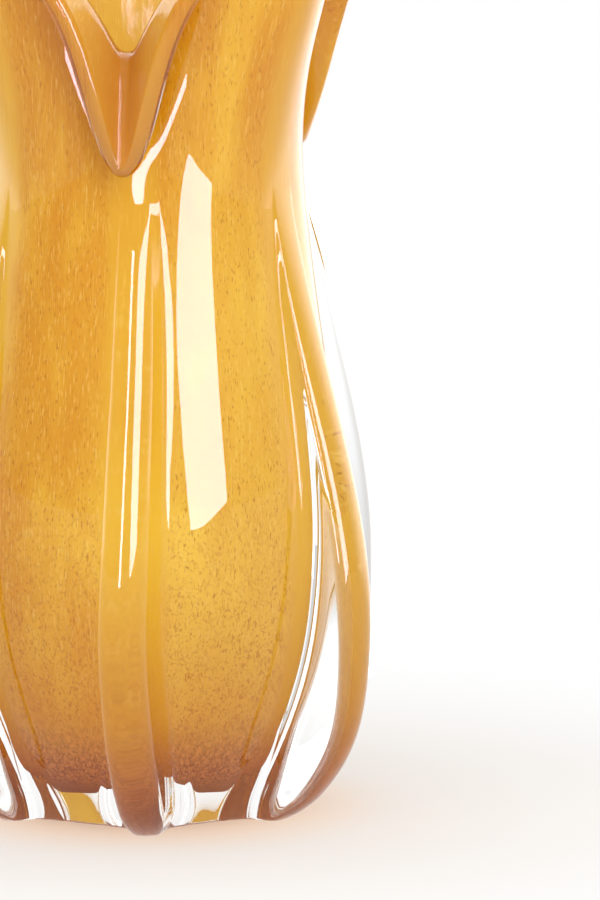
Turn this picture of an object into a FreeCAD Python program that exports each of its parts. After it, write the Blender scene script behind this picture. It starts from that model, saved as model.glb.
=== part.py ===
import FreeCAD, Part
import math
import os

Vector = FreeCAD.Vector

# Driving dimensions in millimetres.
# The vase stands on the flat of its foot at height zero, on the Z axis, front towards minus Y.

# Clear body between the fins
pad_radius = 35.0           # flat underside of the clear base
belly_radius = 62.0
belly_height = 76.0
neck_radius = 48.6
neck_height = 196.0
casing_wall = 3.6           # clear glass outside the colour
colour_wall = 2.4           # amber glass, the inside of the vase
base_thickness = 14.5       # clear glass under the colour
bulb_flat_radius = 9.0      # flat at the bottom of the colour bubble

# Mouth: three folded petals and three upright peaks between them, all risen above the neck
peak_radius = 79.0
peak_rise = 105.0
fold_radius = 38.6          # inside of the fold, where a petal turns over the wall
fold_rise = 40.8
tip_radius = 50.8           # back of a petal at its tip
tip_rise = 7.5
shoulder_radius = 63.8      # outside of the wall half way up a peak
shoulder_rise = 63.0

# Fins
foot_depth = 14.5           # crest of a fin beyond the pad, where it meets the floor
fin_depth = 17.0            # crest of a fin beyond the belly, at its fullest
fin_full_height = 58.0
fin_thickness = 17.0        # across the flanks
root_depth = 1.7            # how far a fin is carried into the casing before it is cut to its seat

# Angles in degrees, from the front towards the right hand side, which is at 90
petal_angles = (-5.5, 118.0, 236.0)
full_turn = 360.0

# Body outline below the belly: how far from the pad to the belly, and how far up to it
lower_rows_share = ((0.0, 0.0), (0.10, 0.045), (0.28, 0.17), (0.62, 0.40), (0.94, 0.74))
# Body outline above the belly: how far from the neck to the belly, and how far up to the neck
upper_rows_share = ((1.04, 0.13), (0.73, 0.40), (0.31, 0.70), (0.0, 1.0))
# Bottom of the colour bubble: share of its own largest radius, and of the height of the belly
bulb_rows_share = ((0.50, 0.0), (0.70, 0.02))

# Neck to crest, where the wall turns over at a petal and stands at its shoulder at a peak: share of
# the way across, and of the way up
throat_rows_share = ((0.06, 0.25), (0.34, 0.54), (0.74, 0.79), (1.0, 0.99))
# Crest to rim: share of the way across, with the share of the way down at a petal and up at a peak
rim_rows_share = ((0.31, 0.02, 0.34), (0.59, 0.34, 0.635), (0.82, 0.68, 0.86), (1.0, 1.0, 1.0))

# Stations round the mouth from the middle of a petal to the peak, as a share of the way to the next
# petal, each with how far the crest and the rim have gone from petal to peak there
station_share = (0.0, 0.045, 0.085, 0.125, 0.175, 0.25, 0.36, 0.5)
crest_out_share = (0.0, 0.01, 0.07, 0.21, 0.41, 0.66, 0.89, 1.0)
crest_up_share = (0.0, 0.02, 0.24, 0.62, 0.95, 1.10, 1.08, 1.0)
rim_out_share = (0.0, 0.03, 0.19, 0.34, 0.46, 0.66, 0.89, 1.0)
rim_up_share = (0.0, 0.01, 0.15, 0.40, 0.55, 0.70, 0.885, 1.0)
# How far the wall has opened there from the fold of a petal to the rise of a peak
open_share = (0.0, 0.02, 0.12, 0.35, 0.65, 0.85, 0.95, 1.0)

# Crest of a fin: height share below and above its fullest level, with its radius as a share of the
# way out from the foot, or back in to the neck
foot_crest_share = ((0.0, 0.0), (0.055, 0.235), (0.18, 0.475), (0.34, 0.70), (0.57, 0.90), (1.0, 1.0))
peak_crest_share = ((0.18, 0.97), (0.40, 0.75), (0.60, 0.475), (0.81, 0.20), (1.0, -0.03))
petal_crest_share = ((0.18, 1.01), (0.40, 0.86), (0.60, 0.625), (0.82, 0.36), (1.03, -0.05))
# Thickness of a fin at those levels, as a share of its full thickness
fin_swell_share = (0.86, 0.90, 0.95, 1.0, 1.0, 1.0, 1.0, 0.965, 0.91, 0.82, 0.66)
# Spread of a fin's root at those levels, as a share of its thickness there, and how far out it goes
root_spread_share = (1.65, 1.55, 1.35, 1.18, 1.05, 1.0, 1.0, 1.0, 1.0, 1.0, 1.0)
spread_reach_share = 0.45
# Half of a fin's level section, from the middle of its root to its crest: share of the way from the
# root to the crest, and share of half the thickness, with a flared root and a round crest
fin_side_share = (
    (0.0, 0.0), (0.0, 1.0), (0.12, 1.12), (0.40, 0.98), (0.72, 0.96), (0.975, 0.72), (1.035, 0.0),
)

# Each fin: name, angle, whether a petal hangs over it, drift of its foot and of its middle in
# degrees, and its reach and thickness as shares of the named ones, since they are pulled by hand
fin_table = (
    ("fin_front", 0.0, True, 3.0, -2.5, 1.0, 1.0),
    ("fin_right", 60.0, False, 1.5, 0.0, 1.0, 1.0),
    ("fin_back_right", 113.0, True, -1.0, 0.5, 1.01, 0.97),
    ("fin_back", 180.0, False, 1.0, -1.5, 0.99, 1.0),
    ("fin_back_left", 240.0, True, -2.0, 1.0, 1.0, 1.02),
    ("fin_left", 300.0, False, -1.5, 1.0, 0.995, 1.0),
)

degree = 3


def blend(start, end, share):
    return start + (end - start) * share


def place(radius, height, angle):
    """Point at a radius and height, at an angle counted from the front to the right."""
    turn = math.radians(angle)
    return Vector(radius * math.sin(turn), -radius * math.cos(turn), height)


def body_outline():
    """Outside of the clear body from the pad to the neck, as (radius, height)."""
    lower = [
        (blend(pad_radius, belly_radius, out), belly_height * up) for out, up in lower_rows_share
    ]
    upper = [
        (blend(neck_radius, belly_radius, out), blend(belly_height, neck_height, up))
        for out, up in upper_rows_share
    ]
    return lower + upper


def mouth_stations():
    """Angle of each column of the skins and its shares of the mouth, all the way round."""
    stations = []
    half = list(zip(
        station_share, crest_out_share, crest_up_share, rim_out_share, rim_up_share, open_share,
    ))
    mirrored = [(1.0 - station[0],) + station[1:] for station in half[-2:0:-1]]
    for index, angle in enumerate(petal_angles):
        following = petal_angles[(index + 1) % len(petal_angles)]
        span = (following - angle) % full_turn
        for share, *shares in half + mirrored:
            stations.append((angle + share * span, *shares))
    return stations


def mouth_column(crest_out, crest_up, rim_out, rim_up, opened):
    """Outside of the wall from the neck over the crest to the rim, as (radius, height)."""
    crest_radius = blend(fold_radius, shoulder_radius, crest_out)
    crest_rise = blend(fold_rise, shoulder_rise, crest_up)
    rim_radius = blend(tip_radius, peak_radius, rim_out)
    rim_rise = blend(tip_rise, peak_rise, rim_up)
    throat = [
        (blend(neck_radius, crest_radius, across), neck_height + crest_rise * up)
        for across, up in throat_rows_share
    ]
    rim = [
        (
            blend(crest_radius, rim_radius, across),
            neck_height + blend(crest_rise, rim_rise, blend(drop, rise, opened)),
        )
        for across, drop, rise in rim_rows_share
    ]
    return throat + rim


def swelling(angles, index):
    """Factor that sets a row of poles outside its circle, so that the skin itself lies on it."""
    count = len(angles)
    before = (angles[index] - angles[index - 1]) % full_turn
    after = (angles[(index + 1) % count] - angles[index]) % full_turn
    step = math.radians((before + after) / 2)
    return 1.0 / (1.0 - (1.0 - math.cos(step)) / 3.0)


def outer_columns():
    """Poles of the outside of the wall: one column per station, from the pad to the rim."""
    stations = mouth_stations()
    angles = [station[0] for station in stations]
    columns = []
    for index, (angle, *shares) in enumerate(stations):
        factor = swelling(angles, index)
        outline = body_outline() + mouth_column(*shares)
        columns.append([place(radius * factor, height, angle) for radius, height in outline])
    return columns


def inward_normals(columns):
    """Unit vectors into the wall at each pole, square to its neighbours along and across."""
    count = len(columns)
    normals = []
    for index, column in enumerate(columns):
        before = columns[index - 1]
        after = columns[(index + 1) % count]
        side = []
        for row in range(len(column)):
            low = column[max(row - 1, 0)]
            high = column[min(row + 1, len(column) - 1)]
            across = after[row].sub(before[row])
            along = high.sub(low)
            side.append(across.cross(along).negative().normalize())
        normals.append(side)
    return normals


def moved(columns, normals, distance):
    """Poles of a skin that lies inside another by a distance."""
    return [
        [pole.add(normal * distance) for pole, normal in zip(column, side)]
        for column, side in zip(columns, normals)
    ]


def bulb_column(angle, factor, layer):
    """Bottom of the colour bubble at one angle, on a layer that lies further in by its wall."""
    radius = belly_radius - casing_wall - layer
    floor = base_thickness + layer
    rows = [(bulb_flat_radius, floor)]
    rows += [(radius * out, floor + belly_height * up) for out, up in bulb_rows_share]
    return [place(out * factor, up, angle) for out, up in rows]


def with_bulb(columns, layer):
    """Poles of an inner skin, with the round bottom of the bubble instead of the foot."""
    angles = [station[0] for station in mouth_stations()]
    rounded = []
    for index, column in enumerate(columns):
        bottom = bulb_column(angles[index], swelling(angles, index), layer)
        rounded.append(bottom + column[len(bottom):])
    return rounded


def skin(columns):
    """Smooth face through a net of poles, closed round the axis and open at both ends."""
    count = len(columns)
    rows = len(columns[0])
    spans = rows - degree
    surface = Part.BSplineSurface()
    surface.buildFromPolesMultsKnots(
        columns,
        [1] * (count + 1),
        [degree + 1] + [1] * (spans - 1) + [degree + 1],
        list(range(count + 1)),
        list(range(spans + 1)),
        True,
        False,
        degree,
        degree,
    )
    return surface


def end_disc(surface, at_start):
    """Flat face inside the first or last row of a skin."""
    low, high = surface.bounds()[2:]
    ring = surface.vIso(low if at_start else high)
    return Part.Face(Part.Wire([ring.toShape()]))


def solid_from(faces):
    """Closed solid from faces that meet edge to edge."""
    shell = Part.makeShell(faces)
    shell.sewShape()
    solid = Part.makeSolid(shell)
    if solid.Volume < 0:
        solid.reverse()
    return solid


def glass_layers():
    """The clear casing with its foot and lip, and the amber layer that lines it."""
    outer = outer_columns()
    normals = inward_normals(outer)
    wall = casing_wall + colour_wall
    middle = with_bulb(moved(outer, normals, casing_wall), 0.0)
    inner = with_bulb(moved(outer, normals, wall), colour_wall)
    lip = []
    for column, inside in zip(outer, inner):
        onwards = column[-1].sub(column[-2]).normalize() * (wall / 2)
        lip.append([column[-1].add(onwards), inside[-1].add(onwards), inside[-1]])
    outside = skin([column + rounding for column, rounding in zip(outer, lip)])
    between = skin([column + [inside[-1]] for column, inside in zip(middle, inner)])
    inside = skin(inner)
    casing = solid_from([
        outside.toShape(), between.toShape(), end_disc(outside, True), end_disc(between, True),
    ])
    colour = solid_from([
        between.toShape(), inside.toShape(), end_disc(between, True), end_disc(inside, True),
    ])
    return casing, colour


def body_radius_at(height):
    """Radius of the clear body between the fins, from its outline."""
    outline = body_outline()
    for (inner, low), (outer, high) in zip(outline, outline[1:]):
        if low <= height <= high and high > low:
            return blend(inner, outer, (height - low) / (high - low))
    return outline[-1][0]


def crest_outline(under_petal, reach):
    """Crest of a fin from the floor to the neck, as (radius, height)."""
    foot = pad_radius + foot_depth
    full = belly_radius + fin_depth * reach
    lower = [(blend(foot, full, out), fin_full_height * up) for up, out in foot_crest_share]
    table = petal_crest_share if under_petal else peak_crest_share
    upper = [
        (blend(neck_radius, full, out), blend(fin_full_height, neck_height, up))
        for up, out in table
    ]
    return lower + upper


def root_radius_at(height, crest_radius):
    """Radius of the root of a fin, a little inside the casing."""
    return min(body_radius_at(height), crest_radius) - root_depth


def fin_row(radius, height, angle, thickness, spread):
    """Poles round one level of a fin: up one flank, over the crest and back down the other."""
    root = root_radius_at(height, radius)
    turn = math.radians(angle)
    out = Vector(math.sin(turn), -math.cos(turn), 0)
    side = Vector(math.cos(turn), math.sin(turn), 0)
    flank = []
    for along, across in fin_side_share:
        widened = blend(spread, 1.0, min(along / spread_reach_share, 1.0))
        flank.append((blend(root, radius, along), across * widened * thickness / 2))
    mirrored = [(along, -across) for along, across in flank[-2:0:-1]]
    return [
        out * along + side * across + Vector(0, 0, height) for along, across in flank + mirrored
    ]


def make_fin(casing, angle, under_petal, foot_drift, middle_drift, reach, girth):
    """One pulled fin, cut to sit on the casing."""
    rows = []
    crest = crest_outline(under_petal, reach)
    for (radius, height), swell, spread in zip(crest, fin_swell_share, root_spread_share):
        share = min(height / fin_full_height, 1.0)
        fade = max(height - fin_full_height, 0) / (neck_height - fin_full_height)
        drift = blend(foot_drift, middle_drift, share) * (1.0 - fade)
        thickness = fin_thickness * girth * swell
        rows.append(fin_row(radius, height, angle + drift, thickness, spread))
    surface = skin([list(column) for column in zip(*rows)])
    blank = solid_from([surface.toShape(), end_disc(surface, True), end_disc(surface, False)])
    fin = blank.cut(casing)
    return max(fin.Solids, key=lambda piece: piece.Volume)


def export(name, shape):
    shape.exportStep("parts/%s.step" % name)
    box = shape.BoundBox
    print("%s volume %.0f valid %s faces %d x %.1f %.1f y %.1f %.1f z %.1f %.1f" % (
        name, shape.Volume, shape.isValid(), len(shape.Faces),
        box.XMin, box.XMax, box.YMin, box.YMax, box.ZMin, box.ZMax,
    ))


os.makedirs("parts", exist_ok=True)
casing, colour = glass_layers()
export("clear_casing", casing)
export("amber_layer", colour)
for name, *shape_values in fin_table:
    export(name, make_fin(casing, *shape_values))
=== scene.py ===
import math
import bpy
import numpy as np
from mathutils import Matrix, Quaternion, Vector


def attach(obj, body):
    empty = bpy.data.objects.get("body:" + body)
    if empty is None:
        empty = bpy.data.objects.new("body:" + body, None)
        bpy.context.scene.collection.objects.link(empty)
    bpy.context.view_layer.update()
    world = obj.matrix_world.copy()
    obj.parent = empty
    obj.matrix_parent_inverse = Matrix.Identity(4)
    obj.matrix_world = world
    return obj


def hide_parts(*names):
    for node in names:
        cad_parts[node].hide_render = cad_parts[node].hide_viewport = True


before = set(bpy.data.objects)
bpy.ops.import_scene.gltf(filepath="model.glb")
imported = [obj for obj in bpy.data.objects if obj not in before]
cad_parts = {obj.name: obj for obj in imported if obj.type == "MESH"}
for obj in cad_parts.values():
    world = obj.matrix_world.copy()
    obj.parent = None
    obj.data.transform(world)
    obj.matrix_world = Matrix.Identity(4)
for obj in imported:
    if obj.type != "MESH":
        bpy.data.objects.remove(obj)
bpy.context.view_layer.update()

# The colour bubble. Mottled honey amber frit, melted between two gathers of clear glass and blown,
# with the mouth folded over at three petals: streaked at the neck and mouth, flecked over the belly,
# red-brown and grainy at the bottom, and darker there in part by painted shade. Its inside is the
# inside of the vase.
mm = 0.001
pad_radius = 35.0 * mm
belly_radius = 62.0 * mm
belly_height = 76.0 * mm
neck_radius = 48.6 * mm
neck_height = 196.0 * mm
casing_wall = 3.6 * mm
colour_wall = 2.4 * mm
wall = casing_wall + colour_wall
base_thickness = 14.5 * mm
bulb_flat_radius = 9.0 * mm
peak_radius = 79.0 * mm
peak_height = 300.9 * mm
fold_radius = 38.6 * mm
fold_height = 236.8 * mm
tip_radius = 50.8 * mm
tip_height = 203.5 * mm
shoulder_radius = 63.8 * mm
shoulder_height = 259.0 * mm
petal_angles = (-5.5, 118.0, 236.0)
full_turn = 360.0

# Shares of the sizes above. Rows run up the wall, from the pad to the rim, and a pair is (out, up).
lower_rows_share = ((0.0, 0.0), (0.10, 0.045), (0.28, 0.17), (0.62, 0.40), (0.94, 0.74))
upper_rows_share = ((1.04, 0.13), (0.73, 0.40), (0.31, 0.70), (0.0, 1.0))
bulb_rows_share = ((0.50, 0.0), (0.70, 0.02))
throat_rows_share = ((0.06, 0.25), (0.34, 0.54), (0.74, 0.79), (1.0, 0.99))
rim_out_rows_share = (0.31, 0.59, 0.82, 1.0)
petal_drop_rows_share = (0.02, 0.34, 0.68, 1.0)
peak_rise_rows_share = (0.34, 0.635, 0.86, 1.0)

# Stations run round the mouth, from the middle of a petal to the peak beside it.
station_share = (0.0, 0.045, 0.085, 0.125, 0.175, 0.25, 0.36, 0.5)
crest_out_share = (0.0, 0.01, 0.07, 0.21, 0.41, 0.66, 0.89, 1.0)
crest_up_share = (0.0, 0.02, 0.24, 0.62, 0.95, 1.10, 1.08, 1.0)
rim_out_share = (0.0, 0.03, 0.19, 0.34, 0.46, 0.66, 0.89, 1.0)
rim_up_share = (0.0, 0.01, 0.15, 0.40, 0.55, 0.70, 0.885, 1.0)
open_share = (0.0, 0.02, 0.12, 0.35, 0.65, 0.85, 0.95, 1.0)

# At the lip the colour comes nearer to the outside, and ends inside the rounded rim.
lip_casing_share = (0.96, 0.82, 0.62, 0.45, 0.35)
lip_colour_across_share = (0.30, 0.88)
lip_colour_rise_share = 0.62


def blend(start, end, share):
    return start + (end - start) * share


def smooth(low, high, value):
    """Rises gently from 0 at low to 1 at high."""
    share = np.clip((value - low) / (high - low), 0.0, 1.0)
    return share * share * (3.0 - 2.0 * share)


def on_circle(radius, height, angle):
    """Point at a radius and height, at an angle in degrees from the front to the right."""
    turn = np.radians(angle)
    return np.stack(np.broadcast_arrays(radius * np.sin(turn), -radius * np.cos(turn), height), -1)


def body_outline():
    """Radius and height of each row of poles, from the pad to the neck."""
    lower = [(blend(pad_radius, belly_radius, out), belly_height * up) for out, up in lower_rows_share]
    upper = [
        (blend(neck_radius, belly_radius, out), blend(belly_height, neck_height, up))
        for out, up in upper_rows_share
    ]
    return lower + upper


def mouth_stations():
    """Angle of each column, and its shares along the petals and peaks, all the way round."""
    stations = []
    half = list(zip(
        station_share, crest_out_share, crest_up_share, rim_out_share, rim_up_share, open_share,
    ))
    mirrored = [(1.0 - station[0], *station[1:]) for station in half[-2:0:-1]]
    for index, angle in enumerate(petal_angles):
        span = (petal_angles[(index + 1) % len(petal_angles)] - angle) % full_turn
        stations += [(angle + station[0] * span, *station[1:]) for station in half + mirrored]
    return np.array(stations)


stations = mouth_stations()
column_angles, crest_out, crest_up, rim_out, rim_up, opened = stations.T
gap_before = (column_angles - np.roll(column_angles, 1)) % full_turn
gap_after = (np.roll(column_angles, -1) - column_angles) % full_turn
# A smooth row cuts inside its poles, so the poles stand out by this factor.
swelling = 1.0 / (1.0 - (1.0 - np.cos(np.radians(gap_before + gap_after) / 2)) / 3.0)


def outer_net():
    """Poles of the outside of the wall, columns by rows, from the pad to the rim."""
    crest_radius = blend(fold_radius, shoulder_radius, crest_out)
    crest_height = blend(fold_height, shoulder_height, crest_up)
    rim_radius = blend(tip_radius, peak_radius, rim_out)
    rim_height = blend(tip_height, peak_height, rim_up)
    rows = body_outline()
    for across, up in throat_rows_share:
        rows.append((blend(neck_radius, crest_radius, across), blend(neck_height, crest_height, up)))
    for out, drop, rise in zip(rim_out_rows_share, petal_drop_rows_share, peak_rise_rows_share):
        along = blend(drop, rise, opened)
        rows.append((blend(crest_radius, rim_radius, out), blend(crest_height, rim_height, along)))
    return np.stack([on_circle(radius * swelling, height, column_angles) for radius, height in rows], 1)


def inward_net(net):
    """Unit vectors into the wall at each pole."""
    across = np.roll(net, -1, 0) - np.roll(net, 1, 0)
    along = np.empty_like(net)
    along[:, 1:-1] = net[:, 2:] - net[:, :-2]
    along[:, 0] = net[:, 1] - net[:, 0]
    along[:, -1] = net[:, -1] - net[:, -2]
    inward = -np.cross(across, along)
    return inward / np.linalg.norm(inward, axis=2, keepdims=True)


def with_bulb(net, depth):
    """A net at a depth in the colour layer, with the round bottom of the bubble for a foot."""
    net = net.copy()
    radius = belly_radius - casing_wall - depth
    floor = base_thickness + depth
    rows = [(bulb_flat_radius, floor)]
    rows += [(radius * out, floor + belly_height * up) for out, up in bulb_rows_share]
    for row, (out, up) in enumerate(rows):
        net[:, row] = on_circle(out * swelling, up, column_angles)
    return net


def ring_weights(places, count):
    """Weights of the poles round a closed smooth row, at places counted in poles."""
    weights = np.zeros((len(places), count))
    index = np.floor(places).astype(int)
    part = places - index
    cubic = (
        (1 - part) ** 3 / 6,
        (3 * part ** 3 - 6 * part ** 2 + 4) / 6,
        (-3 * part ** 3 + 3 * part ** 2 + 3 * part + 1) / 6,
        part ** 3 / 6,
    )
    for step, weight in zip((-1, 0, 1, 2), cubic):
        np.add.at(weights, (np.arange(len(places)), (index + step) % count), weight)
    return weights


def run_weights(shares, count):
    """Weights of the poles along a smooth column that starts and ends on its end poles."""
    spans = count - 3
    knots = np.concatenate((np.zeros(3), np.arange(spans + 1), np.full(3, spans))).astype(float)
    place = np.clip(np.asarray(shares) * spans, 0.0, spans - 1e-9)
    table = [((knots[i] <= place) & (place < knots[i + 1])).astype(float) for i in range(count + 3)]
    for degree in (1, 2, 3):
        following = []
        for i in range(count + 3 - degree):
            value = np.zeros(len(place))
            if knots[i + degree] > knots[i]:
                value += (place - knots[i]) / (knots[i + degree] - knots[i]) * table[i]
            if knots[i + degree + 1] > knots[i + 1]:
                left = (knots[i + degree + 1] - place) / (knots[i + degree + 1] - knots[i + 1])
                value += left * table[i + 1]
            following.append(value)
        table = following
    return np.stack(table, 1)


def sheet(net, places, shares):
    """Points of a smooth sheet through a net: columns by rows."""
    round_weights = ring_weights(places, net.shape[0])
    up_weights = run_weights(shares, net.shape[1])
    return np.einsum("uc,crk,vr->uvk", round_weights, net, up_weights)


outer = outer_net()
inward = inward_net(outer)
casing_share = np.ones(outer.shape[1])
casing_share[-len(lip_casing_share):] = lip_casing_share
colour_net = with_bulb(outer + inward * (casing_wall * casing_share)[None, :, None], 0.0)
hollow_net = with_bulb(outer + inward * wall, colour_wall)
rim_edge = hollow_net[:, -1]
# Past the last row the wall goes on by half its thickness, so that the rim is round.
onwards = outer[:, -1] - outer[:, -2]
onwards = onwards / np.linalg.norm(onwards, axis=1, keepdims=True) * (wall / 2)
lip_rise = onwards * lip_colour_rise_share
lip_colour = [blend(outer[:, -1], rim_edge, share) + lip_rise for share in lip_colour_across_share]
colour_net_whole = np.concatenate((colour_net, np.stack((*lip_colour, rim_edge), 1)), 1)

colour_columns = 7
colour_rows = 150
places = np.arange(len(stations) * colour_columns) / colour_columns
shares = np.linspace(0.0, 1.0, colour_rows)

# How far the wall lies on a petal where it folds over, which is painted darker as shade: all of its
# inside, and its outside under the drooping lip.
fold_shade_range_share = (-0.05, 0.10)
under_lip_shade_range_share = (-0.16, 0.08)
under_lip_shade_strength = 0.85
crest_share = (len(body_outline()) + len(throat_rows_share) - 2) / outer.shape[1]
petal_part = 1.0 - ring_weights(places, len(stations)) @ opened


def petal_mask(range_share):
    """1 on a petal past the crest of the fold and 0 elsewhere, columns by rows of the colour."""
    low, high = range_share
    return petal_part[:, None] * smooth(crest_share + low, crest_share + high, shares)[None, :]


def glass_mesh(name, sheets):
    """Closed mesh from sheets of points, with a flow coordinate along the wall for the finishes.

    Each sheet gives its points, whether it faces out (1) or in (-1), its material's index, and how
    strongly its points take the painted shade of a petal's fold. A disc closes its first row.
    """
    points = []
    faces = []
    finish = []
    flow = []
    fold_shade = []
    for grid, facing, group, fold in sheets:
        columns, rows = grid.shape[:2]
        start = len(points)
        run = np.zeros((columns, rows))
        run[:, 1:] = np.cumsum(np.linalg.norm(np.diff(grid, axis=1), axis=2), axis=1)
        angle = np.degrees(np.arctan2(grid[:, :, 0], -grid[:, :, 1]))
        points += grid.reshape(-1, 3).tolist()
        flow += on_circle(belly_radius, run.mean(0) + base_thickness, angle).reshape(-1, 3).tolist()
        fold_shade += fold.ravel().tolist()
        for column in range(columns):
            beside = (column + 1) % columns
            for row in range(rows - 1):
                ring = (
                    start + column * rows + row, start + beside * rows + row,
                    start + beside * rows + row + 1, start + column * rows + row + 1,
                )
                faces.append(ring[::facing])
                finish.append(group)
        middle = len(points)
        points.append([0.0, 0.0, float(grid[:, 0, 2].mean())])
        flow.append([0.0, 0.0, base_thickness])
        fold_shade.append(0.0)
        for column in range(columns):
            beside = (column + 1) % columns
            wedge = (middle, start + beside * rows, start + column * rows)
            faces.append(wedge[::facing])
            finish.append(group)
    mesh = bpy.data.meshes.new(name)
    mesh.from_pydata(points, [], faces)
    mesh.polygons.foreach_set("material_index", finish)
    mesh.polygons.foreach_set("use_smooth", [True] * len(faces))
    layer = mesh.attributes.new("flow", "FLOAT_VECTOR", "POINT")
    layer.data.foreach_set("vector", np.array(flow, dtype=np.float32).ravel())
    layer = mesh.attributes.new("fold", "FLOAT", "POINT")
    layer.data.foreach_set("value", np.array(fold_shade, dtype=np.float32))
    piece = bpy.data.objects.new(name, mesh)
    bpy.context.scene.collection.objects.link(piece)
    return piece


amber = glass_mesh("amber_bubble", (
    (sheet(colour_net_whole, places, shares), 1, 0, petal_mask(under_lip_shade_range_share) * under_lip_shade_strength),
    (sheet(hollow_net, places, shares), -1, 1, petal_mask(fold_shade_range_share)),
))


def node_tree(name):
    """A new node material, emptied but for its output."""
    material = bpy.data.materials.new(name)
    material.use_nodes = True
    tree = material.node_tree
    tree.nodes.clear()
    output = tree.nodes.new("ShaderNodeOutputMaterial")
    return material, tree, output


def put_in(tree, value, socket):
    """Gives a socket its value: another socket's, a colour or a number."""
    if isinstance(value, bpy.types.NodeSocket):
        tree.links.new(value, socket)
    elif isinstance(value, tuple):
        socket.default_value = (*value, 1.0)
    else:
        socket.default_value = value


def add_node(tree, kind, **settings):
    """A new node with its settings, and its sockets set by keys such as in_Scale."""
    node = tree.nodes.new(kind)
    for key, value in settings.items():
        if key.startswith("in_"):
            put_in(tree, value, node.inputs[key[3:].replace("_", " ")])
        else:
            setattr(node, key, value)
    return node


def ramp(tree, value, low, high, start=0.0, end=1.0, shape="SMOOTHSTEP"):
    """A value that runs from start, where another is low, to end, where that is high."""
    node = add_node(
        tree, "ShaderNodeMapRange", interpolation_type=shape,
        in_Value=value, in_From_Min=low, in_From_Max=high, in_To_Min=start, in_To_Max=end,
    )
    return node.outputs["Result"]


def maths(tree, operation, first, second):
    """Product, sum, larger one or comparison of two values."""
    node = add_node(tree, "ShaderNodeMath", operation=operation)
    put_in(tree, first, node.inputs[0])
    put_in(tree, second, node.inputs[1])
    return node.outputs[0]


def shader_mix(tree, share, first, second):
    """The first shader, with a share of the second in its place."""
    node = add_node(tree, "ShaderNodeMixShader", in_Fac=share)
    tree.links.new(first, node.inputs[1])
    tree.links.new(second, node.inputs[2])
    return node.outputs[0]


# Colours of the frit, from the stretched glass to the thick grains, of the inside, of a painted lit
# side and of painted shade in the petals' folds, how strongly the inside's shows, and how much of the
# light passes on into the glass.
honey = (0.75, 0.34, 0.005)
light_honey = (0.92, 0.62, 0.048)
warm_honey = (0.73, 0.33, 0.006)
painted_lit_honey = (0.93, 0.68, 0.095)
pale_streak = (0.95, 0.72, 0.16)
pulled_honey = (0.84, 0.52, 0.028)
dark_streak = (0.50, 0.17, 0.006)
low_amber = (0.66, 0.245, 0.014)
brown_fleck = (0.50, 0.155, 0.006)
drawn_streak = (0.48, 0.15, 0.014)
dark_grain = (0.33, 0.080, 0.020)
light_grain = (0.70, 0.27, 0.060)
pulled_grain = (0.56, 0.19, 0.042)
inside_yellow = (1.0, 0.82, 0.20)
fold_shade_outside = (0.61, 0.24, 0.050)
fold_shade_inside = (0.62, 0.185, 0.002)
inside_strength = 0.72
inside_streak_strength = 0.45
glow_share = 0.38

# Patterns of the frit: stretch across and along the wall, scale, detail, roughness and distortion
# of the noise, and the levels of it between which the pattern comes up.
clouds_pattern = (1.0, 0.45, 26.0, 3.0, 0.55, 0.4, 0.35, 0.68)
warm_pattern = (1.0, 0.35, 60.0, 4.0, 0.60, 0.0, 0.42, 0.66)
pale_pattern = (1.0, 0.13, 1900.0, 2.0, 0.55, 0.3, 0.54, 0.72)
dark_pattern = (1.0, 0.30, 1900.0, 1.0, 0.50, 0.0, 0.60, 0.74)
fleck_pattern = (1.0, 0.80, 640.0, 4.0, 0.72, 1.6, 0.52, 0.62)
drawn_pattern = (6.0, 0.90, 640.0, 3.0, 0.65, 0.8, 0.45, 0.65)
grain_pattern = (0.8, 0.70, 900.0, 4.0, 0.75, 0.8, 0.40, 0.60)
bump_pattern = (1.0, 0.40, 700.0, 3.0, 0.60, 0.0)

# Where each comes up: a height, or a place from the left to the right, where it starts and is full.
lit_side_places = (-45.0 * mm, 35.0 * mm)
lit_side_heights = (270.0 * mm, 180.0 * mm)
low_heights = (125.0 * mm, 48.0 * mm)
fleck_heights = (165.0 * mm, 72.0 * mm)
drawn_heights = (140.0 * mm, 50.0 * mm)
grain_heights = (70.0 * mm, 46.0 * mm)
# The painted shade in the folds fades toward the right, the lit side.
fold_shade_places = (15.0 * mm, 50.0 * mm)


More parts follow.
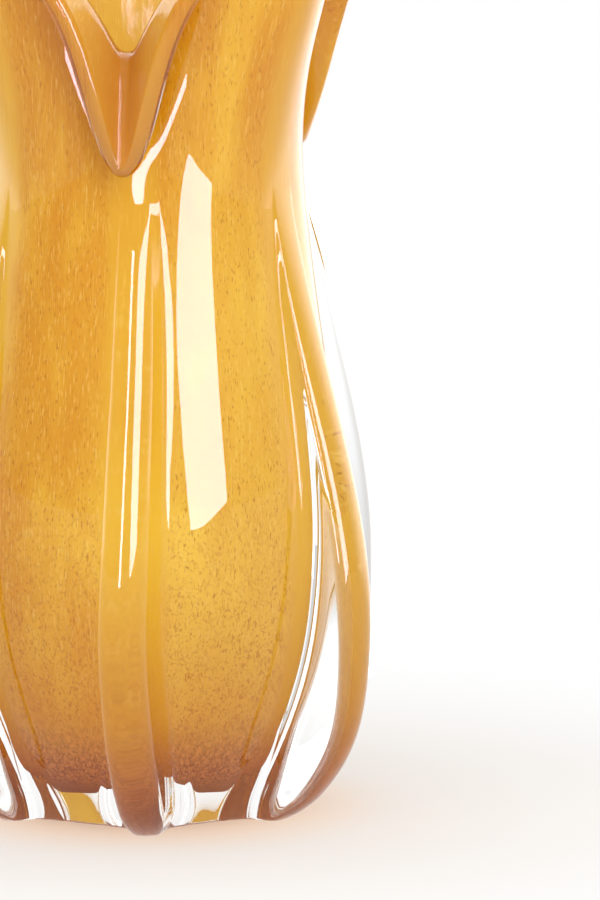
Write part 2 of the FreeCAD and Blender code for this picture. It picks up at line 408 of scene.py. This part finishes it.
def frit_group():
    """Colour and height of the mottled frit, from the flow coordinate along the wall, with painted
    light and shade: a lighter right side, darker folds, and in part a darker bottom.
    """
    group = bpy.data.node_groups.new("amber_frit_and_painted_light", "ShaderNodeTree")
    for name, kind in (("Flow", "Vector"), ("Fold", "Float"), ("Inside", "Float"), ("Pulled", "Float")):
        group.interface.new_socket(name, in_out="INPUT", socket_type="NodeSocket" + kind)
    for name, kind in (("Color", "Color"), ("Grain", "Float")):
        group.interface.new_socket(name, in_out="OUTPUT", socket_type="NodeSocket" + kind)
    inputs = group.nodes.new("NodeGroupInput").outputs
    outputs = group.nodes.new("NodeGroupOutput").inputs
    link = group.links.new

    def noise(across, along, scale, detail, roughness, distortion):
        stretched = add_node(group, "ShaderNodeVectorMath", operation="MULTIPLY")
        link(inputs["Flow"], stretched.inputs[0])
        stretched.inputs[1].default_value = (across, across, along)
        node = add_node(
            group, "ShaderNodeTexNoise", in_Vector=stretched.outputs[0], in_Scale=scale,
            in_Detail=detail, in_Roughness=roughness, in_Distortion=distortion,
        )
        return node.outputs["Fac"]

    def pattern(values):
        return ramp(group, noise(*values[:6]), *values[6:])

    def product(first, second):
        return maths(group, "MULTIPLY", first, second)

    def layered(under, over, mask, strength=None):
        """One colour over another where a mask shows it, at a strength."""
        node = add_node(group, "ShaderNodeMix", data_type="RGBA")
        colour_a, colour_b = (
            [s for s in node.inputs if s.name == name and s.type == "RGBA"][0] for name in ("A", "B")
        )
        factor = [s for s in node.inputs if s.name == "Factor" and s.type == "VALUE"][0]
        put_in(group, under, colour_a)
        put_in(group, over, colour_b)
        link(mask if strength is None else product(mask, strength), factor)
        return [s for s in node.outputs if s.type == "RGBA"][0]

    separate = add_node(group, "ShaderNodeSeparateXYZ")
    link(inputs["Flow"], separate.inputs[0])
    place = separate.outputs["X"]
    height = separate.outputs["Z"]
    pulled = inputs["Pulled"]
    mottling = ramp(group, pulled, 0.0, 1.0, start=0.68, end=0.0, shape="LINEAR")

    body = layered(honey, light_honey, pattern(clouds_pattern))
    body = layered(body, warm_honey, pattern(warm_pattern), strength=0.66)
    # Painted light: the right of the belly is made lighter and yellower, as where more light falls on
    # it.
    side = product(ramp(group, place, *lit_side_places), ramp(group, height, *lit_side_heights))
    body = layered(body, painted_lit_honey, side, strength=0.50)
    pale = pattern(pale_pattern)
    body = layered(body, pale_streak, pale, strength=0.55)
    body = layered(body, pulled_honey, pulled, strength=0.55)
    body = layered(body, dark_streak, pattern(dark_pattern), strength=mottling)
    # Darker, red-brown amber low on the wall: partly the frit's own colour, partly painted shade.
    body = layered(body, low_amber, ramp(group, height, *low_heights), strength=0.66)
    flecks = product(pattern(fleck_pattern), mottling)
    body = layered(body, brown_fleck, product(flecks, ramp(group, height, *fleck_heights)))
    drawn = product(product(pattern(drawn_pattern), pulled), ramp(group, height, *drawn_heights))
    body = layered(body, drawn_streak, drawn, strength=0.35)

    frit = layered(dark_grain, light_grain, pattern(grain_pattern))
    frit = layered(frit, pulled_grain, pulled, strength=0.6)
    body = layered(body, frit, ramp(group, height, *grain_heights), strength=0.88)

    # The inside is lighter and yellower, more so along the pale streaks.
    inside_share = maths(group, "ADD", product(pale, inside_streak_strength), inside_strength)
    body = layered(body, inside_yellow, inputs["Inside"], strength=inside_share)
    # Painted shade: the petals' trough and the wall under the drooping lip are darker, less so toward
    # the lit right side.
    fold_shade = layered(fold_shade_outside, fold_shade_inside, inputs["Inside"])
    far = ramp(group, place, *fold_shade_places)
    fold_shade_strength = ramp(group, far, 0.0, 1.0, start=0.80, end=0.25, shape="LINEAR")
    body = layered(body, fold_shade, inputs["Fold"], strength=fold_shade_strength)
    link(body, outputs["Color"])
    link(noise(*bump_pattern), outputs["Grain"])
    return group


amber_frit_and_painted_light = frit_group()


def amber_material(name, coat, inside):
    """Amber glass that light passes into: one finish under the clear casing, one glossy to the air."""
    material, tree, output = node_tree(name)
    flow, fold, pulled = (
        add_node(tree, "ShaderNodeAttribute", attribute_name=attribute)
        for attribute in ("flow", "fold", "pulled")
    )
    frit = add_node(
        tree, "ShaderNodeGroup", node_tree=amber_frit_and_painted_light, in_Flow=flow.outputs["Vector"],
        in_Fold=fold.outputs["Fac"], in_Pulled=pulled.outputs["Fac"], in_Inside=inside,
    )
    bump = add_node(
        tree, "ShaderNodeBump", in_Strength=0.25, in_Distance=0.4 * mm, in_Height=frit.outputs["Grain"],
    )
    glass = add_node(
        tree, "ShaderNodeBsdfPrincipled", in_Roughness=0.06, in_IOR=1.5, in_Specular_IOR_Level=coat,
        in_Base_Color=frit.outputs["Color"], in_Normal=bump.outputs["Normal"],
    )
    glow = add_node(tree, "ShaderNodeBsdfTranslucent", in_Color=frit.outputs["Color"])
    surface = shader_mix(tree, glow_share, glass.outputs[0], glow.outputs[0])
    tree.links.new(surface, output.inputs["Surface"])
    return material


amber.data.materials.append(amber_material("amber_under_casing", coat=0.0, inside=0.0))
amber.data.materials.append(amber_material("amber_inside", coat=0.5, inside=1.0))
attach(amber, "root")
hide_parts("amber_layer")


# The clear casing and its six fins. Thick clear glass gathered over the colour, pulled out into
# fins with pincers while hot, from the neck down to star points at the foot. Fins and casing are
# one body of glass, so their roots flow into the wall in small fillets.
foot_depth = 14.5 * mm
fin_depth = 17.0 * mm
fin_full_height = 58.0 * mm
fin_thickness = 17.0 * mm
least_depth = 12.0 * mm
depth_easing = 1.0 * mm
fillet = 2.0 * mm
foot_fillet = 10.0 * mm
foot_fillet_height = fin_full_height * 0.6
foot_round = 9.0 * mm
foot_taper_share = 0.6
fade_below_neck = 8 * mm
fade_above_neck = 4 * mm
crest_round_share = 0.66
foot_crest_share = ((0.0, 0.0), (0.055, 0.235), (0.18, 0.475), (0.34, 0.70), (0.57, 0.90), (1.0, 1.0))
peak_crest_share = ((0.18, 0.97), (0.40, 0.75), (0.60, 0.475), (0.81, 0.20), (1.0, -0.03))
petal_crest_share = ((0.18, 1.01), (0.40, 0.86), (0.60, 0.625), (0.82, 0.36), (1.03, -0.05))
fin_swell_share = (0.86, 0.90, 0.95, 1.0, 1.0, 1.0, 1.0, 0.965, 0.91, 0.82, 0.66)

# Each fin: angle, whether it ends under a petal, degrees that it drifts at the foot and at the
# middle, reach and girth as shares, width of the crest as a share, and lean sideways.
fin_table = (
    (0.0, True, 3.0, -2.5, 1.0, 1.0, 0.86, -0.20),
    (60.0, False, 1.5, 0.0, 1.0, 1.0, 0.97, 0.0),
    (113.0, True, -1.0, 0.5, 1.01, 0.97, 0.95, 0.05),
    (180.0, False, 1.0, -1.5, 0.99, 1.0, 0.94, -0.05),
    (240.0, True, -2.0, 1.0, 1.0, 1.02, 0.95, 0.05),
    (300.0, False, -1.5, 1.0, 0.993, 1.0, 0.97, 0.0),
)

# The casing's inner face lies this deep in the colour.
seat_depth = colour_wall * 0.4

# Steps of the mesh round half a fin, along a fin and over the casing, and how closely they pack.
crest_steps = 10
flank_steps = 5
fillet_steps = 5
groove_steps = 9
groove_packing = 1.5
easing_passes = 12
fin_length_steps = 240
casing_rows = 205
row_packing = 0.35
ring_steps_per_pole = 8
seat_columns = 5
seat_rows = 100

# The colour is drawn out smooth under each fin, within so many degrees of its middle.
pulled_angles = (6.0, 12.0)
flow_points = np.empty(3 * len(amber.data.vertices), dtype=np.float32)
amber.data.attributes["flow"].data.foreach_get("vector", flow_points)
flow_angles = np.degrees(np.arctan2(flow_points[0::3], -flow_points[1::3]))
off_fins = np.min([
    np.abs((flow_angles - angle - middle_drift + full_turn / 2) % full_turn - full_turn / 2)
    for angle, _, _, middle_drift, *_ in fin_table
], 0)
layer = amber.data.attributes.new("pulled", "FLOAT", "POINT")
layer.data.foreach_set("value", (1.0 - smooth(*pulled_angles, off_fins)).astype(np.float32))


def fin_runs(under_petal, foot_drift, middle_drift, reach, girth):
    """Height, crest radius, half thickness and drift of a fin along its length, as smooth runs."""
    foot = pad_radius + foot_depth
    full = belly_radius + fin_depth * reach
    crest = [(blend(foot, full, out), fin_full_height * up) for up, out in foot_crest_share]
    table = petal_crest_share if under_petal else peak_crest_share
    crest += [
        (blend(neck_radius, full, out), blend(fin_full_height, neck_height, up))
        for up, out in table
    ]
    rows = []
    for (radius, height), swell in zip(crest, fin_swell_share):
        share = min(height / fin_full_height, 1.0)
        fade = max(height - fin_full_height, 0.0) / (neck_height - fin_full_height)
        drift = blend(foot_drift, middle_drift, share) * (1.0 - fade)
        rows.append((height, radius, fin_thickness * girth * swell / 2, drift))
    return run_weights(np.linspace(0.0, 1.0, fin_length_steps), len(rows)) @ np.array(rows)


def fin_half(radius, depth, half, limit, root, crest_width, lean):
    """Half a level section, from the crest down a flank to the middle of the groove beside it.

    The body's radius, the fin's depth and half thickness and the fillet's radius, root, give its
    size. The crest is as wide as crest_width says, and lean shifts it sideways. Gives the angle
    from the middle of the fin in radians, up to limit, and the reach beyond the body.
    """
    # A shallow fin has the section of a deeper one, flattened.
    shown = max(depth, least_depth)
    round_depth = half * crest_round_share
    shoulder = radius + shown - round_depth
    centre = math.sqrt((radius + root) ** 2 - (half + root) ** 2)
    points = []
    for step in range(crest_steps):
        turn = math.pi / 2 * step / crest_steps
        points.append((shoulder + round_depth * math.cos(turn), half * crest_width * math.sin(turn)))
    for step in range(flank_steps):
        share = step / flank_steps
        points.append((blend(shoulder, centre, share), half * blend(crest_width, 1.0, share)))
    touch = math.atan2(half + root, centre)
    for step in range(fillet_steps + 1):
        bend = blend(-math.pi / 2, -math.pi + touch, step / fillet_steps)
        points.append((centre + root * math.cos(bend), half + root + root * math.sin(bend)))
    points = [(along, across + lean * max(along - centre, 0.0)) for along, across in points]
    angles = [math.atan2(across, along) for along, across in points]
    beyond = [math.hypot(across, along) - radius for along, across in points]
    last = angles[-1]
    for step in range(1, groove_steps + 1):
        angles.append(blend(last, limit, (step / groove_steps) ** groove_packing))
        beyond.append(0.0)
    # The foot of the fillet is eased into the groove.
    eased = np.array(beyond)
    start = crest_steps + flank_steps + 2
    for _ in range(easing_passes):
        eased[start:-1] = (eased[start - 1:-2] + 2.0 * eased[start:-1] + eased[start + 1:]) / 4.0
        eased[-1] = eased[-2]
    return np.array(angles), eased * (depth / shown)


row_shares = np.linspace(0.0, 1.0, casing_rows)
row_shares = row_shares - row_packing * np.sin(2 * math.pi * row_shares) / (2 * math.pi)
outer_lip = np.stack((outer[:, -1] + onwards, rim_edge + onwards, rim_edge), 1)
outer_net_whole = np.concatenate((outer, outer_lip), 1)
coarse = sheet(outer_net_whole, np.arange(0.0, len(stations)), row_shares)
row_radius = np.hypot(coarse[:, :, 0], coarse[:, :, 1]).mean(0)
row_height = coarse[:, :, 2].mean(0)
neck_row = int(np.argmin(np.abs(row_height - neck_height)))
runs = [fin_runs(*values[1:6]) for values in fin_table]


def level_section(radius, height):
    """Angle in degrees and reach beyond the body of every column at one level."""
    centres = []
    sizes = []
    root = blend(foot_fillet, fillet, float(smooth(0.0, foot_fillet_height, height)))
    neck_fade = float(smooth(neck_height - fade_below_neck, neck_height + fade_above_neck, height))
    near_floor = 1.0 - min(height / foot_round, 1.0)
    for values, run in zip(fin_table, runs):
        level = np.clip(height, run[0, 0], run[-1, 0])
        crest, half, drift = (np.interp(level, run[:, 0], run[:, k]) for k in (1, 2, 3))
        depth = crest - radius
        depth = 0.5 * (depth + math.sqrt(depth * depth + depth_easing ** 2)) * (1.0 - neck_fade)
        half *= math.sqrt(1.0 - foot_taper_share * near_floor * near_floor)
        centres.append(values[0] + drift)
        sizes.append((depth, half))
    angles = []
    beyond = []
    for index, (depth, half) in enumerate(sizes):
        crest_width, lean = fin_table[index][6:]
        for side in (-1, 1):
            beside = (index + side) % len(sizes)
            limit = math.radians(((centres[beside] - centres[index]) * side) % full_turn) / 2
            turn, reach = fin_half(radius, depth, half, limit, root, crest_width, lean * side)
            turn = centres[index] + side * np.degrees(turn)
            if side < 0:
                angles.append(turn[:0:-1])
                beyond.append(reach[:0:-1])
            else:
                angles.append(turn[:-1])
                beyond.append(reach[:-1])
    return np.concatenate(angles), np.concatenate(beyond)


ring_places = np.arange(0.0, len(stations), 1.0 / ring_steps_per_pole)
neck_ring = sheet(outer_net_whole, ring_places, row_shares[[neck_row]])[:, 0]
ring_angles = np.degrees(np.unwrap(np.arctan2(neck_ring[:, 0], -neck_ring[:, 1])))


def place_of(angles):
    """Where on the net, counted in poles, a column at an angle lies."""
    low = ring_angles[0]
    turned = (angles - low) % full_turn + low
    return np.interp(
        turned, np.append(ring_angles, low + full_turn), np.append(ring_places, len(stations)),
    )


def casing_sheet():
    """Outside of the casing with its fins, which end at the neck."""
    rows = []
    up_weights = run_weights(row_shares, outer_net_whole.shape[1])
    neck_angles = level_section(neck_radius, neck_height)[0]
    for row, (radius, height) in enumerate(zip(row_radius, row_height)):
        poles = np.einsum("crk,r->ck", outer_net_whole, up_weights[row])
        if row < neck_row:
            angles, beyond = level_section(radius, height)
        else:
            angles, beyond = neck_angles, np.zeros(len(neck_angles))
        ring = ring_weights(place_of(angles), len(stations)) @ poles
        rows.append(ring + on_circle(1.0, 0.0, angles) * beyond[:, None])
    return np.stack(rows, 1)


fused_sheet = casing_sheet()
seat_net = with_bulb(outer + inward * (casing_wall + seat_depth), seat_depth)
seat_net = np.concatenate((seat_net, rim_edge[:, None]), 1)
seat_places = np.arange(len(stations) * seat_columns) / seat_columns
seat_sheet = sheet(seat_net, seat_places, np.linspace(0.0, 1.0, seat_rows))
casing = glass_mesh("clear_casing_and_fins", (
    (fused_sheet, 1, 0, np.zeros(fused_sheet.shape[:2])),
    (seat_sheet, -1, 0, np.zeros(seat_sheet.shape[:2])),
))


def clear_material():
    """Thick clear glass with a faint hand-worked ripple.

    Shadow and diffuse rays go straight through, and so does light that is caught inside.
    """
    material, tree, output = node_tree("clear_glass")
    flow = add_node(tree, "ShaderNodeAttribute", attribute_name="flow")
    ripple = add_node(
        tree, "ShaderNodeTexNoise", in_Vector=flow.outputs["Vector"], in_Scale=38.0,
        in_Detail=1.0, in_Roughness=0.4,
    )
    bump = add_node(
        tree, "ShaderNodeBump", in_Strength=0.07, in_Distance=0.6 * mm, in_Height=ripple.outputs["Fac"],
    )
    glass = add_node(
        tree, "ShaderNodeBsdfPrincipled", in_Roughness=0.0, in_IOR=1.5, in_Transmission_Weight=1.0,
        in_Base_Color=(0.985, 0.99, 0.985), in_Normal=bump.outputs["Normal"],
    )
    clear = add_node(tree, "ShaderNodeBsdfTransparent")
    path = add_node(tree, "ShaderNodeLightPath").outputs
    most_reflections = 3.5
    trapped = maths(tree, "GREATER_THAN", path["Glossy Depth"], most_reflections)
    passed = maths(tree, "MAXIMUM", path["Is Shadow Ray"], path["Is Diffuse Ray"])
    passed = maths(tree, "MAXIMUM", passed, trapped)
    surface = shader_mix(tree, passed, glass.outputs[0], clear.outputs[0])
    tree.links.new(surface, output.inputs["Surface"])
    return material


casing.data.materials.append(clear_material())
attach(casing, "root")
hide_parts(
    "clear_casing", "fin_front", "fin_right", "fin_back_right", "fin_back",
    "fin_back_left", "fin_left",
)


# The floor. A plain pale sweep that runs to white for the camera and for what shows through and in
# the glass, and keeps the soft shadow of the vase, with a painted warm shadow colour under it.
floor_rings = (0.4, 1.2, 6.0)
floor_sides = 96


def floor_disc():
    """Flat disc of rings, round the place where the vase stands."""
    points = [(0.0, 0.0, 0.0)]
    faces = []
    for radius in floor_rings:
        for step in range(floor_sides):
            turn = 2 * math.pi * step / floor_sides
            points.append((radius * math.cos(turn), radius * math.sin(turn), 0.0))
    for step in range(floor_sides):
        beside = (step + 1) % floor_sides
        faces.append((0, 1 + step, 1 + beside))
        for ring in range(len(floor_rings) - 1):
            low = 1 + ring * floor_sides
            high = low + floor_sides
            faces.append((low + step, high + step, high + beside, low + beside))
    mesh = bpy.data.meshes.new("floor")
    mesh.from_pydata(points, [], faces)
    floor = bpy.data.objects.new("floor", mesh)
    bpy.context.scene.collection.objects.link(floor)
    return floor


def floor_material():
    """Matt with a painted warm shadow colour under the vase, matt and pale round it, and plain white
    further out.
    """
    material, tree, output = node_tree("floor_sweep")
    link = tree.links.new
    path = add_node(tree, "ShaderNodeLightPath").outputs
    spot = add_node(tree, "ShaderNodeTexCoord").outputs["Object"]
    length, heading = (
        add_node(tree, "ShaderNodeVectorMath", operation=name) for name in ("LENGTH", "NORMALIZE")
    )
    behind, facing = (add_node(tree, "ShaderNodeSeparateXYZ") for _ in range(2))
    link(spot, length.inputs[0])
    link(spot, heading.inputs[0])
    link(spot, behind.inputs[0])
    link(heading.outputs[0], facing.inputs[0])
    distance = length.outputs["Value"]

    pale = add_node(tree, "ShaderNodeBsdfDiffuse", in_Color=(0.62, 0.61, 0.60))
    lifted = add_node(tree, "ShaderNodeEmission", in_Color=(1.0, 0.99, 0.97), in_Strength=0.165)
    around = add_node(tree, "ShaderNodeAddShader")
    link(pale.outputs[0], around.inputs[0])
    link(lifted.outputs[0], around.inputs[1])
    # Painted shadow: a darker, warm diffuse colour close round the vase.
    painted_warm_shadow = add_node(tree, "ShaderNodeBsdfDiffuse", in_Color=(0.86, 0.70, 0.55))
    warm_shadow_share = ramp(tree, distance, low=30.0 * mm, high=85.0 * mm)
    matt = shader_mix(tree, warm_shadow_share, painted_warm_shadow.outputs[0], around.outputs[0])

    # In the glass the floor is brighter to the rear, but for the far part straight behind the vase,
    # where it is dimmer, so that the clear fins have edges.
    dimmed = ramp(tree, distance, low=0.26, high=0.42, start=1.0, end=0.42)
    straight = ramp(tree, facing.outputs["Y"], low=0.92, high=0.985, start=1.0, end=dimmed)
    rear = ramp(tree, behind.outputs["Y"], low=0.1, high=0.8, start=1.0, end=2.6)
    mirrored = maths(tree, "MULTIPLY", rear, straight)
    strength = ramp(tree, path["Is Glossy Ray"], 0.0, 1.0, start=1.0, end=mirrored, shape="LINEAR")
    white = add_node(tree, "ShaderNodeEmission", in_Color=(1.0, 1.0, 1.0), in_Strength=strength)

    in_glass = maths(tree, "MAXIMUM", path["Is Transmission Ray"], path["Is Glossy Ray"])
    seen = maths(tree, "MAXIMUM", path["Is Camera Ray"], in_glass)
    least_white = maths(tree, "MULTIPLY", in_glass, 0.7)
    away = ramp(tree, distance, low=0.05, high=0.27, start=least_white)
    surface = shader_mix(tree, maths(tree, "MULTIPLY", away, seen), matt, white.outputs[0])
    link(surface, output.inputs["Surface"])
    return material


floor = floor_disc()
floor.data.materials.append(floor_material())


# The studio light. A tall softbox to the right and a narrow strip in front, which show only as
# reflections, three soft lamps that only light the vase, and a white room that is bright behind the
# vase and dim on the camera's side.
scene = bpy.context.scene
lamp_aim = Vector((0.0, 0.0, 0.12))
mirrored_colour = (1.0, 0.79, 0.98)
soft_colour = (1.0, 0.975, 0.95)


def studio_world():
    """A white room: plain white to the camera, with its own levels for light and for reflections."""
    world = bpy.data.worlds.new("studio")
    world.use_nodes = True
    tree = world.node_tree
    tree.nodes.clear()
    output = tree.nodes.new("ShaderNodeOutputWorld")
    path = add_node(tree, "ShaderNodeLightPath").outputs
    heading = add_node(tree, "ShaderNodeSeparateXYZ")
    tree.links.new(add_node(tree, "ShaderNodeTexCoord").outputs["Generated"], heading.inputs[0])
    behind = heading.outputs["Y"]

    def background(colour, strength):
        node = add_node(tree, "ShaderNodeBackground", in_Color=colour, in_Strength=strength)
        return node.outputs[0]

    room = background((1.0, 0.985, 0.96), ramp(tree, behind, low=-0.2, high=0.65, start=0.50, end=1.3))
    mirrored = background((1.0, 1.0, 1.0), ramp(tree, behind, low=-0.2, high=0.65, start=0.65, end=3.0))
    aside = ramp(tree, behind, low=-0.2, high=0.8, start=0.80, end=1.0)
    backdrop = background((1.0, 1.0, 1.0), maths(tree, "MAXIMUM", aside, path["Is Camera Ray"]))
    seen = maths(tree, "MAXIMUM", path["Is Camera Ray"], path["Is Transmission Ray"])
    unseen = shader_mix(tree, path["Is Glossy Ray"], room, mirrored)
    tree.links.new(shader_mix(tree, seen, unseen, backdrop), output.inputs["Surface"])
    return world


def softbox(name, azimuth, elevation, distance, width, height, radiance, mirrored=False, roll=0.0):
    """Flat lamp that faces the belly, at an azimuth counted from the front to the right."""
    lamp = bpy.data.lights.new(name, "AREA")
    lamp.shape = "RECTANGLE"
    lamp.size = width
    lamp.size_y = height
    lamp.energy = radiance * math.pi * width * height
    lamp.color = mirrored_colour if mirrored else soft_colour
    box = bpy.data.objects.new(name, lamp)
    scene.collection.objects.link(box)
    around = math.radians(azimuth)
    up = math.radians(elevation)
    out = Vector((math.sin(around) * math.cos(up), -math.cos(around) * math.cos(up), math.sin(up)))
    box.location = lamp_aim + out * distance
    rolled = Quaternion((0.0, 0.0, 1.0), math.radians(roll))
    box.rotation_euler = (out.to_track_quat("Z", "Y") @ rolled).to_euler()
    box.visible_camera = False
    box.visible_glossy = mirrored
    box.visible_diffuse = not mirrored


scene.world = studio_world()
softbox(
    "key_softbox", azimuth=35.0, elevation=16.0, distance=1.5, width=0.62, height=1.05,
    radiance=14.5, mirrored=True, roll=12.0,
)
softbox(
    "front_strip", azimuth=-3.0, elevation=12.0, distance=1.6, width=0.20, height=1.35,
    radiance=18.0, mirrored=True, roll=-3.0,
)
softbox(
    "front_light", azimuth=26.0, elevation=26.0, distance=1.6, width=1.0, height=1.2, radiance=3.55,
)
softbox(
    "left_light", azimuth=-58.0, elevation=18.0, distance=1.6, width=1.0, height=1.2, radiance=1.75,
)
softbox(
    "top_light", azimuth=12.0, elevation=62.0, distance=1.5, width=0.9, height=0.9, radiance=2.2,
)


# The camera. It looks at the belly from in front and a little above, from the photograph's angle
# and at its scale, so that the top and the left of the vase are cut off as they are there.
camera_target = Vector((0.048, 0.0, 0.1104))
camera_distance = 3.0
camera_pitch = math.radians(9.2)
photo_height = 900.0
metre_per_pixel = 0.000306
camera_data = bpy.data.cameras.new("camera")
camera_data.sensor_fit = "VERTICAL"
camera_data.sensor_height = 36.0
camera_data.lens = camera_distance * camera_data.sensor_height / (photo_height * metre_per_pixel)
camera_data.clip_end = 50.0
camera = bpy.data.objects.new("camera", camera_data)
scene.collection.objects.link(camera)
camera.location = camera_target + Vector((
    0.0, -camera_distance * math.cos(camera_pitch), camera_distance * math.sin(camera_pitch),
))
camera.rotation_euler = (camera.location - camera_target).to_track_quat("Z", "Y").to_euler()
scene.camera = camera
scene.view_settings.view_transform = "Standard"
